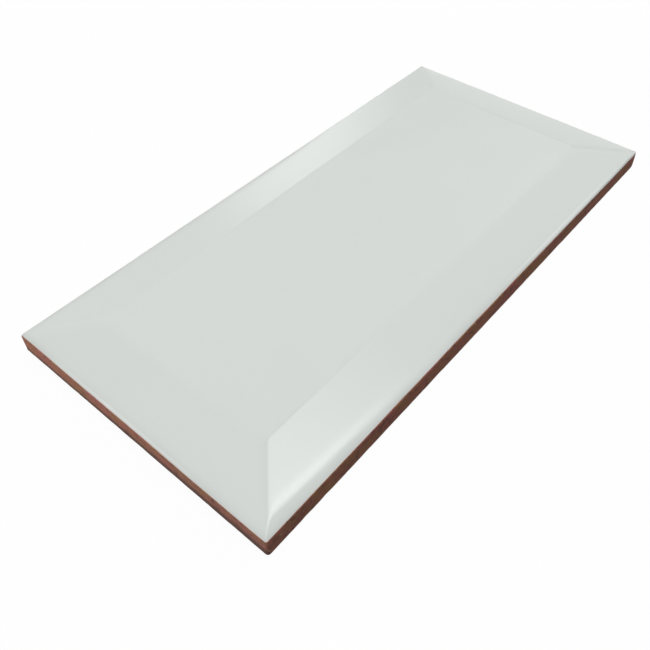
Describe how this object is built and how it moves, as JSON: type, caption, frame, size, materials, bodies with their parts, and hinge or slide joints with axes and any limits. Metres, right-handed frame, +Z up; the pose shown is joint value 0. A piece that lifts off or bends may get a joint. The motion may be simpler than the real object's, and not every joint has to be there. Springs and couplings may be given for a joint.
{
  "type": "subway wall tile",
  "caption": "Bevelled wall tile: a pressed red clay body with a keyed back, under glossy white glaze that covers a flat middle and mitred bevels on all sides and ends at the top edge.",
  "frame": {"origin": "middle of the back, on the plane that the tile lies on", "axes": "+X along the length, +Y along the width, +Z up out of the glazed face"},
  "size_m": [0.15, 0.075, 0.008],
  "materials": {
    "red_clay": "fired, unglazed, matte",
    "white_glaze": "glossy"
  },
  "bodies": {
    "root": {"clay_body": "red_clay", "glaze_coat": "white_glaze"}
  },
  "joints": []
}
